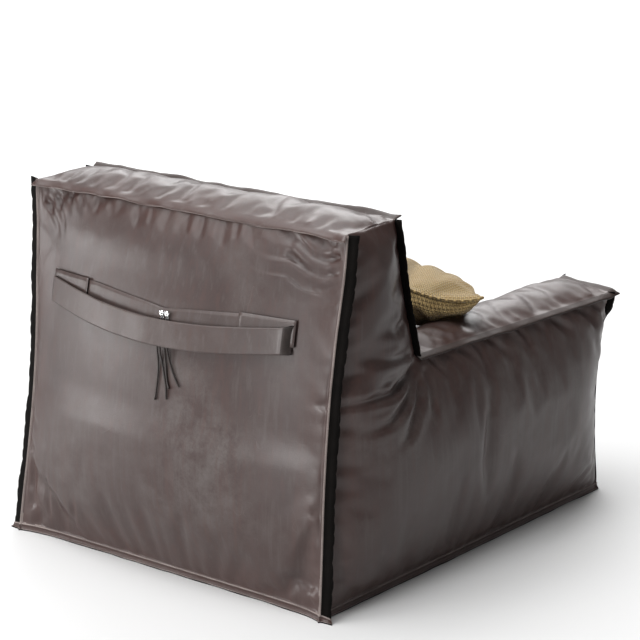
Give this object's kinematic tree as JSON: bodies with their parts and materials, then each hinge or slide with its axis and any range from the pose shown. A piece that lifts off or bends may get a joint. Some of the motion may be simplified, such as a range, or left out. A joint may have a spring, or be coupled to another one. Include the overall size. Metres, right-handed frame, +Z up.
{
  "type": "bean bag armchair",
  "caption": "Box-shaped leather bean bag armchair with raised raw-edge seams, rear carry strap over a zip, lace pulls and a loose woven cushion.",
  "frame": {"origin": "centre of the footprint on the floor", "axes": "+Z up, the chair faces -Y, +X is the sitter's left"},
  "size_m": [1.004, 1.0459, 0.794],
  "materials": {
    "cover_leather": "aged dark brown hide, semi-gloss, scuffed",
    "strap_leather": "dark brown hide, semi-gloss",
    "lace_leather": "near-black thonging, satin",
    "liner_cloth": "plain woven polyester",
    "bead_fill": "loose expanded polystyrene beads",
    "zip_tape": "black woven zip tape and coil",
    "pull_metal": "polished nickel",
    "cushion_weave": "coarse ochre basket weave",
    "cushion_fill": "soft fibre pad"
  },
  "bodies": {
    "body": {"rear_panel": "cover_leather", "top_panel": "cover_leather", "left_side_panel": "cover_leather", "right_side_panel": "cover_leather", "base_panel": "cover_leather", "backrest_front_panel": "cover_leather", "seat_panel": "cover_leather", "front_panel": "cover_leather", "left_arm_panel": "cover_leather", "right_arm_panel": "cover_leather", "seat_liner": "liner_cloth", "seat_bead_fill": "bead_fill", "left_arm_liner": "liner_cloth", "left_arm_bead_fill": "bead_fill", "right_arm_liner": "liner_cloth", "right_arm_bead_fill": "bead_fill", "backrest_liner": "liner_cloth", "backrest_bead_fill": "bead_fill", "zip_tape": "zip_tape", "zip_chain": "zip_tape", "upper_band": "strap_leather", "left_end_tab": "strap_leather", "right_end_tab": "strap_leather"},
    "strap": {"carry_strap": "strap_leather"},
    "slider_left": {"zip_slider_left": "pull_metal", "zip_pull_left": "pull_metal", "lace_left_outer": "lace_leather", "lace_left_inner": "lace_leather"},
    "slider_right": {"zip_slider_right": "pull_metal", "zip_pull_right": "pull_metal", "lace_right_inner": "lace_leather", "lace_right_outer": "lace_leather"},
    "cushion": {"cushion_front_cover": "cushion_weave", "cushion_back_cover": "cushion_weave", "cushion_piping": "cushion_weave", "cushion_inner_pad": "cushion_fill"}
  },
  "joints": [
    {"name": "strap_lift", "type": "hinge", "parent": "body", "child": "strap", "pos_m": [0, 0.47, 0.586], "axis": [1, 0, 0], "range_deg": [0, 35]},
    {"name": "zip_left_slide", "type": "hinge", "parent": "body", "child": "slider_left", "pos_m": [0, -1.15, 0.535], "axis": [0, 0, 1], "range_deg": [-5.2, 0]},
    {"name": "zip_right_slide", "type": "hinge", "parent": "body", "child": "slider_right", "pos_m": [0, -1.15, 0.535], "axis": [0, 0, 1], "range_deg": [0, 5.2]},
    {"name": "cushion_lift", "type": "slide", "parent": "body", "child": "cushion", "axis": [0, 0, 1], "range_m": [0, 0.4]}
  ]
}
